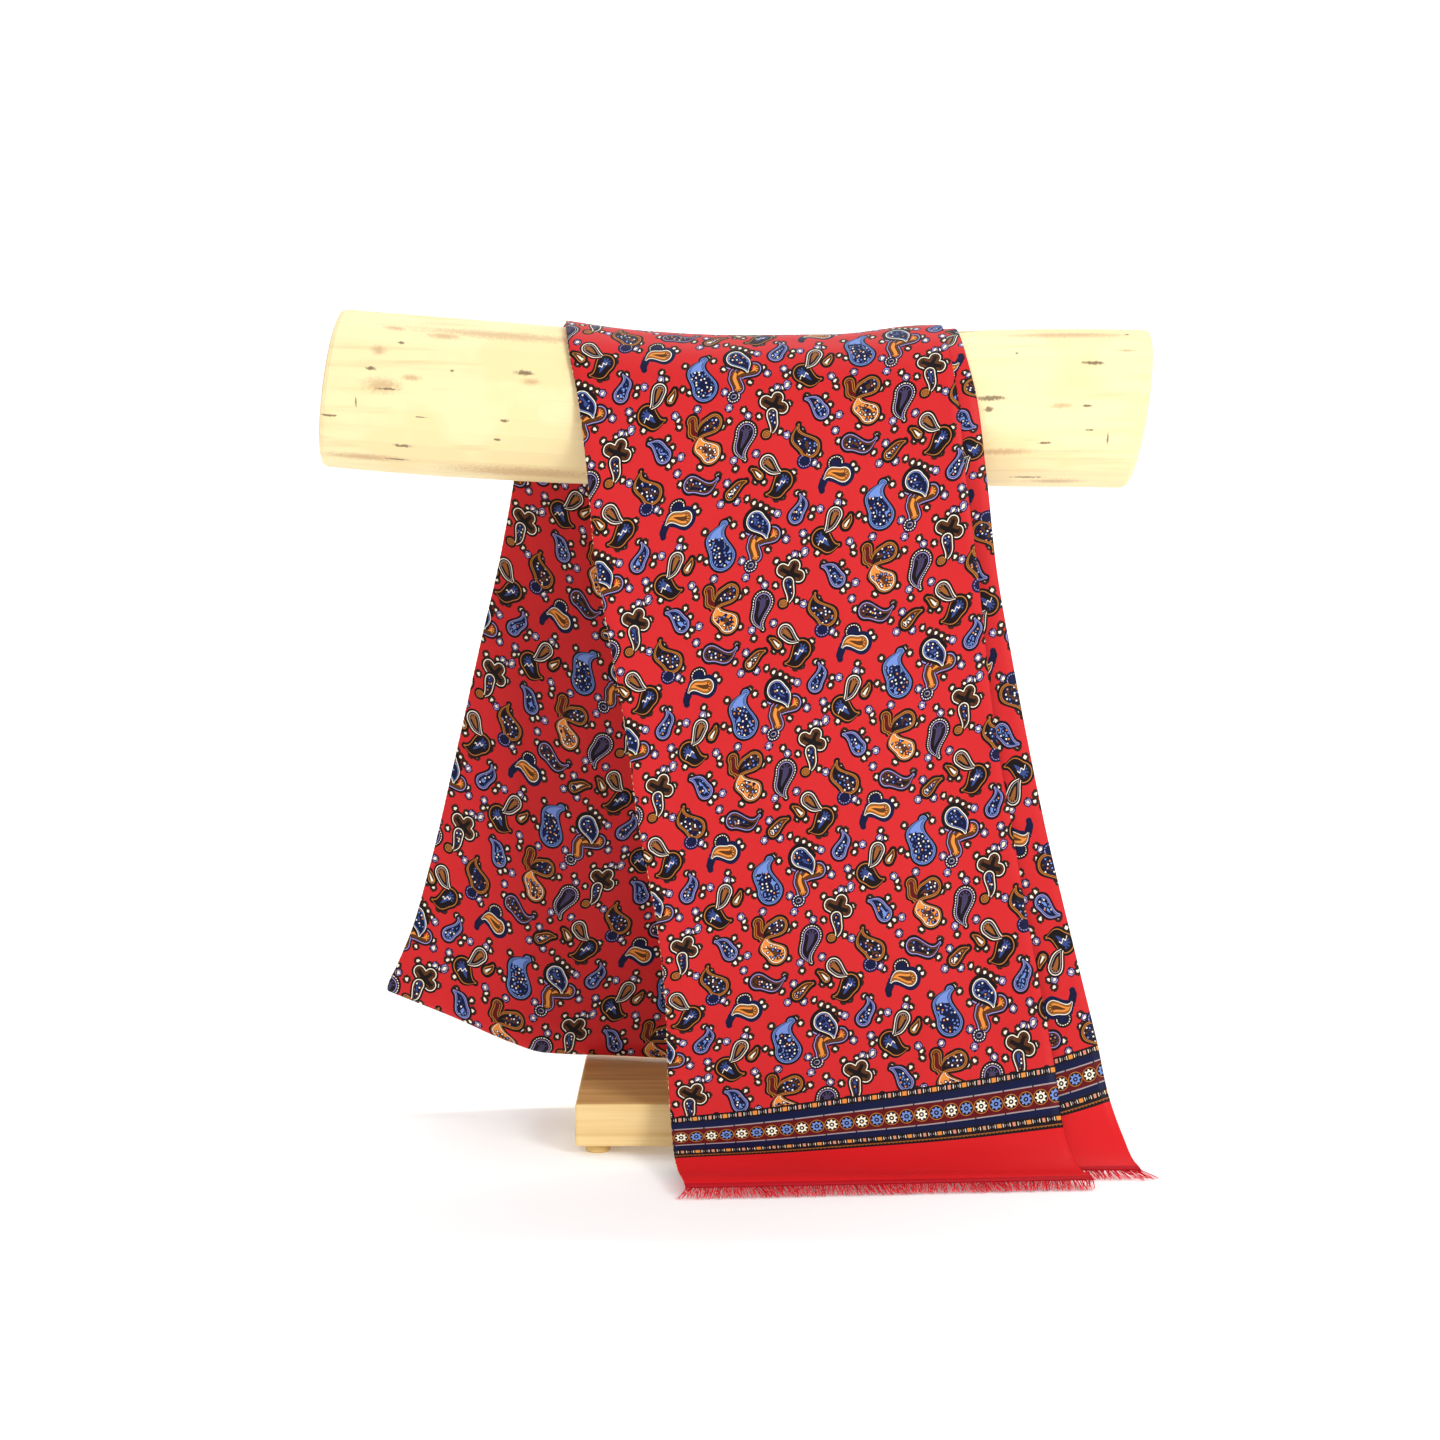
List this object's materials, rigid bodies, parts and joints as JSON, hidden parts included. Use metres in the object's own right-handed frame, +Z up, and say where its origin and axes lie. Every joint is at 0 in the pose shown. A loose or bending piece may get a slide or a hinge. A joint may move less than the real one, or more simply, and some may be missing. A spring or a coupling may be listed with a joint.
{
  "type": "silk scarf on a log display stand",
  "caption": "Long printed silk tube scarf with frayed ends, doubled over and hung over a bare log on a small wooden stand.",
  "frame": {"origin": "middle of the footprint, on the table that the feet and the fringe stand over", "axes": "+Z up, +X along the log to the viewer's right, -Y towards the front, where the fringed ends hang"},
  "size_m": [0.4597, 0.2165, 0.4649],
  "materials": {
    "printed_silk": "smooth printed silk twill with a soft sheen",
    "printed_silk_inner": "smooth printed silk twill with a soft sheen",
    "fringe_thread": "frayed silk threads",
    "bare_wood": "bark-free, bare and dry",
    "board_wood": "planed board, lightly varnished",
    "dowel_wood": "bare dowel",
    "foot_rubber": "matte button foot"
  },
  "bodies": {
    "root": {"base": "board_wood", "foot_1": "foot_rubber", "foot_2": "foot_rubber", "foot_3": "foot_rubber", "foot_4": "foot_rubber", "fringe_inner": "fringe_thread", "fringe_outer": "fringe_thread", "log": "bare_wood", "post": "dowel_wood", "scarf_fold": "printed_silk", "scarf_inner_front": "printed_silk_inner", "scarf_inner_rear": "printed_silk_inner", "scarf_outer_front": "printed_silk", "scarf_outer_rear": "printed_silk"}
  },
  "joints": []
}
